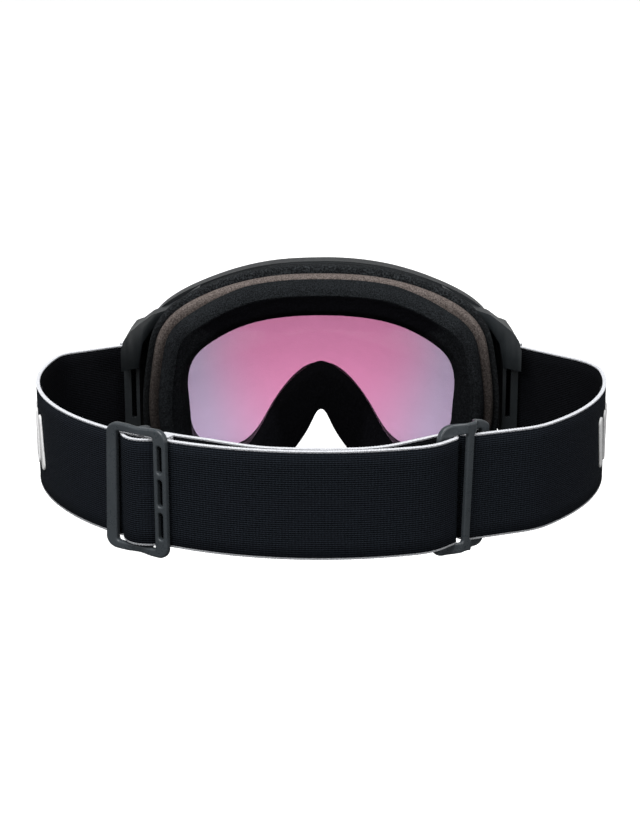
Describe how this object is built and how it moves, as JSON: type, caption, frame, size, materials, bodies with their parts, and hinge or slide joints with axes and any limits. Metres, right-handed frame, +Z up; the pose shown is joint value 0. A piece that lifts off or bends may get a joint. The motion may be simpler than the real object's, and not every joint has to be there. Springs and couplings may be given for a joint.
{
  "type": "ski goggles",
  "caption": "Ski goggles with a magnetic double lens, foam-faced frame, outrigger arms and an elastic strap shortened by sliders.",
  "frame": {"origin": "under the middle of the whole box, on the plane the frame's lower edge stands on", "axes": "+X the wearer's right and the longest extent, +Y the way the wearer looks, +Z up"},
  "size_m": [0.2336, 0.2164, 0.0997],
  "materials": {
    "black_frame": "satin moulded TPU",
    "grey_arm": "fine matte, stiff nylon",
    "slider_black": "semi-gloss acetal",
    "base_foam": "open-cell reticulated foam, speckled",
    "taupe_foam": "smooth closed-cell foam",
    "face_fleece": "short brushed fleece on foam",
    "vent_foam": "open-cell filter foam",
    "webbing": "woven elastic with a pale selvedge",
    "white_print": "raised silicone print",
    "silicone_bead": "clear-black silicone beads",
    "rose_lens": "smooth tinted polycarbonate",
    "clear_lens": "smooth cellulose sheet",
    "gasket_foam": "closed-cell adhesive foam",
    "magnet_steel": "nickel plated",
    "steel_pin": "drawn wire"
  },
  "bodies": {
    "frame": {"frame_shell": "black_frame", "face_flange": "black_frame", "foam_base_layer": "base_foam", "foam_mid_layer": "taupe_foam", "foam_face_layer": "face_fleece", "top_vent_foam": "vent_foam", "bottom_vent_foam_left": "vent_foam", "bottom_vent_foam_right": "vent_foam", "frame_magnets": "magnet_steel", "outrigger_left": "grey_arm", "outrigger_right": "grey_arm", "strap_pin_left": "steel_pin", "strap_pin_right": "steel_pin", "strap_end_left": "webbing", "strap_end_right": "webbing"},
    "lens": {"lens_grip_left": "black_frame", "lens_grip_right": "black_frame", "lens_carrier": "black_frame", "lens_magnets": "magnet_steel", "inner_lens": "clear_lens", "lens_gasket": "gasket_foam", "outer_lens": "rose_lens"},
    "strap": {"strap_long": "webbing", "strap_short": "webbing", "strap_print_left": "white_print", "strap_print_right": "white_print", "strap_grip_left": "silicone_bead", "strap_grip_right": "silicone_bead"},
    "left_slider": {"slider_left": "slider_black", "strap_loop_left": "webbing"},
    "right_slider": {"slider_right": "slider_black"}
  },
  "joints": [
    {"name": "lens_release", "type": "slide", "parent": "frame", "child": "lens", "axis": [0, 1, 0], "range_m": [0, 0.04]},
    {"name": "strap_swing", "type": "hinge", "parent": "frame", "child": "strap", "pos_m": [0, 0.0585, 0.049], "axis": [1, 0, 0], "range_deg": [-20, 20], "stiffness_Nm_per_rad": 0.9},
    {"name": "left_slider_travel", "type": "hinge", "parent": "strap", "child": "left_slider", "pos_m": [0, 0.00801, 0.04777], "axis": [0, 0.0244, -0.9997], "range_deg": [-3, 20]},
    {"name": "right_slider_rock", "type": "hinge", "parent": "strap", "child": "right_slider", "pos_m": [0.04936, -0.08587, 0.04547], "axis": [0, -0.0244, 0.9997], "range_deg": [-6, 3]}
  ]
}
